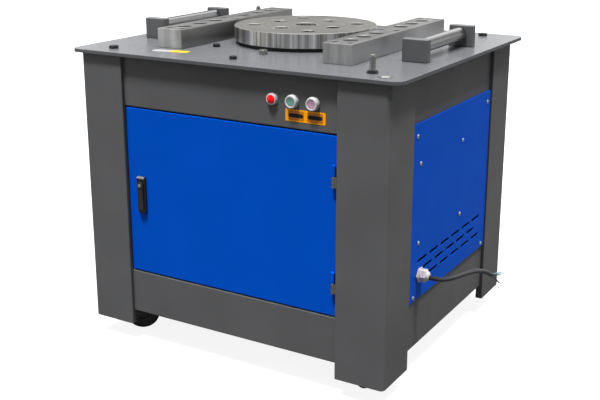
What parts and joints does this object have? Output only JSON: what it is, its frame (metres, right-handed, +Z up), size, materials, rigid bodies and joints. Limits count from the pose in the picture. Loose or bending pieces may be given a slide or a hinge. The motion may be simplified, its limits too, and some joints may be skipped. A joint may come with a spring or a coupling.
{
  "type": "rebar bender",
  "caption": "Electric rebar bender: a turning disc with pin holes on a steel table, flanked by pin bars and side rollers, on a wheeled cabinet with a hinged door.",
  "frame": {"origin": "on the floor, straight below the centre of the working disc, which is the middle of the table", "axes": "+X to the right along the table seen from the door, +Y away from the door, +Z up along the disc axis"},
  "size_m": [1.1126, 0.85, 0.888],
  "materials": {
    "frame_paint": "satin powder coat, dark grey",
    "table_paint": "semi-gloss grey paint",
    "blue_paint": "glossy blue powder coat",
    "turned_steel": "turned, concentric marks",
    "ground_steel": "milled and ground",
    "roller_steel": "polished",
    "bracket_paint": "satin paint over a casting",
    "black_oxide": "black oxide",
    "zinc_plate": "bright zinc plate",
    "seal_rubber": "matte",
    "bezel_white": "glossy",
    "lens_red": "glossy, translucent",
    "button_green": "glossy",
    "button_red": "glossy",
    "black_plastic": "fine grain",
    "label_film": "printed film",
    "gland_nylon": "moulded nylon",
    "cable_sheath": "extruded sheath",
    "core_blue": "extruded insulation",
    "hinge_steel": "bright steel",
    "gear_steel": "oiled steel",
    "case_paint": "painted casting",
    "belt_rubber": "fabric-faced rubber",
    "pulley_iron": "turned cast iron",
    "motor_paint": "hammer paint",
    "plate_zinc": "galvanised sheet",
    "switch_plastic": "moulded",
    "wheel_rubber": "matte"
  },
  "bodies": {
    "frame": {"front_left_leg": "frame_paint", "front_right_leg": "frame_paint", "rear_left_leg": "frame_paint", "rear_right_leg": "frame_paint", "front_top_rail": "frame_paint", "front_bottom_rail": "frame_paint", "side_rails": "frame_paint", "rear_rails": "frame_paint", "base_crossmembers": "frame_paint", "table_plate": "table_paint", "right_panel": "blue_paint", "left_panel": "blue_paint", "rear_panel": "blue_paint", "panel_screws": "zinc_plate", "table_bolts": "black_oxide", "left_pin_bar": "ground_steel", "right_pin_bar": "ground_steel", "pin_bar_screws": "black_oxide", "roller_brackets": "bracket_paint", "disc_seal": "seal_rubber", "control_bezels": "bezel_white", "lamp_lens": "lens_red", "switch_bodies": "black_plastic", "labels": "label_film", "cable_gland": "gland_nylon", "power_cable": "cable_sheath", "cable_cores": "core_blue", "frame_hinge_barrels": "hinge_steel", "gearbox_case": "case_paint", "gearbox_cover": "case_paint", "shaft_bearings": "gear_steel", "drive_belts": "belt_rubber", "motor_body": "motor_paint", "motor_mount": "frame_paint", "electrical_plate": "plate_zinc", "control_gear": "switch_plastic", "caster_plates": "zinc_plate"},
    "disc": {"work_disc": "turned_steel", "main_shaft": "gear_steel", "output_gear": "gear_steel"},
    "second_shaft": {"second_gear_shaft": "gear_steel"},
    "first_shaft": {"first_gear_shaft": "gear_steel"},
    "input_drive": {"input_shaft": "gear_steel", "driven_pulley": "pulley_iron"},
    "motor_drive": {"motor_rotor": "pulley_iron"},
    "left_side_roller": {"left_roller": "roller_steel"},
    "right_side_roller": {"right_roller": "roller_steel"},
    "green_push": {"green_button": "button_green"},
    "red_push": {"red_button": "button_red"},
    "door": {"door_panel": "blue_paint", "door_hinge_barrels": "blue_paint", "latch_case": "black_plastic"},
    "latch": {"latch_lever": "black_plastic"},
    "left_caster": {"front_left_fork": "zinc_plate"},
    "right_caster": {"front_right_fork": "zinc_plate"},
    "wheel_front_left": {"front_left_wheel": "wheel_rubber"},
    "wheel_front_right": {"front_right_wheel": "wheel_rubber"},
    "wheel_rear_left": {"rear_left_wheel": "wheel_rubber"},
    "wheel_rear_right": {"rear_right_wheel": "wheel_rubber"}
  },
  "joints": [
    {"name": "disc_spin", "type": "hinge", "parent": "frame", "child": "disc", "pos_m": [0, 0, 0.84], "axis": [0, 0, 1], "continuous": true},
    {"name": "second_shaft_spin", "type": "hinge", "parent": "frame", "child": "second_shaft", "pos_m": [-0.13856, 0.08, 0.7], "axis": [0, 0, 1], "continuous": true},
    {"name": "first_shaft_spin", "type": "hinge", "parent": "frame", "child": "first_shaft", "pos_m": [-0.21281, -0.00848, 0.7], "axis": [0, 0, 1], "continuous": true},
    {"name": "input_spin", "type": "hinge", "parent": "frame", "child": "input_drive", "pos_m": [-0.18117, -0.0954, 0.7], "axis": [0, 0, 1], "continuous": true},
    {"name": "motor_spin", "type": "hinge", "parent": "frame", "child": "motor_drive", "pos_m": [-0.29, 0.235, 0.56], "axis": [0, 0, 1], "continuous": true},
    {"name": "left_roller_spin", "type": "hinge", "parent": "frame", "child": "left_side_roller", "pos_m": [-0.408, 0, 0.865], "axis": [0, 1, 0], "continuous": true},
    {"name": "right_roller_spin", "type": "hinge", "parent": "frame", "child": "right_side_roller", "pos_m": [0.408, 0, 0.865], "axis": [0, 1, 0], "continuous": true},
    {"name": "green_button_press", "type": "slide", "parent": "frame", "child": "green_push", "axis": [0, 1, 0], "range_m": [0, 0.005], "stiffness_N_per_m": 600},
    {"name": "red_button_press", "type": "slide", "parent": "frame", "child": "red_push", "axis": [0, 1, 0], "range_m": [0, 0.005], "stiffness_N_per_m": 600},
    {"name": "door_swing", "type": "hinge", "parent": "frame", "child": "door", "pos_m": [0.318, -0.411, 0.45], "axis": [0, 0, 1], "range_deg": [0, 120]},
    {"name": "latch_turn", "type": "hinge", "parent": "door", "child": "latch", "pos_m": [-0.279, -0.405, 0.47], "axis": [0, -1, 0], "range_deg": [0, 90]},
    {"name": "left_caster_swivel", "type": "hinge", "parent": "frame", "child": "left_caster", "pos_m": [-0.338, -0.307, 0.118], "axis": [0, 0, 1], "continuous": true},
    {"name": "right_caster_swivel", "type": "hinge", "parent": "frame", "child": "right_caster", "pos_m": [0.338, -0.307, 0.118], "axis": [0, 0, 1], "continuous": true},
    {"name": "front_left_wheel_spin", "type": "hinge", "parent": "left_caster", "child": "wheel_front_left", "pos_m": [-0.36571, -0.323, 0.05], "axis": [0.5, -0.866, 0], "continuous": true},
    {"name": "front_right_wheel_spin", "type": "hinge", "parent": "right_caster", "child": "wheel_front_right", "pos_m": [0.36571, -0.323, 0.05], "axis": [-0.5, -0.866, 0], "continuous": true},
    {"name": "rear_left_wheel_spin", "type": "hinge", "parent": "frame", "child": "wheel_rear_left", "pos_m": [-0.338, 0.297, 0.05], "axis": [1, 0, 0], "continuous": true},
    {"name": "rear_right_wheel_spin", "type": "hinge", "parent": "frame", "child": "wheel_rear_right", "pos_m": [0.338, 0.297, 0.05], "axis": [1, 0, 0], "continuous": true}
  ],
  "couplings": [
    {"joint": "second_shaft_spin", "follows": "disc_spin", "ratio": -4},
    {"joint": "first_shaft_spin", "follows": "disc_spin", "ratio": 14.118},
    {"joint": "input_spin", "follows": "disc_spin", "ratio": -43.922},
    {"joint": "motor_spin", "follows": "disc_spin", "ratio": -87.843}
  ]
}
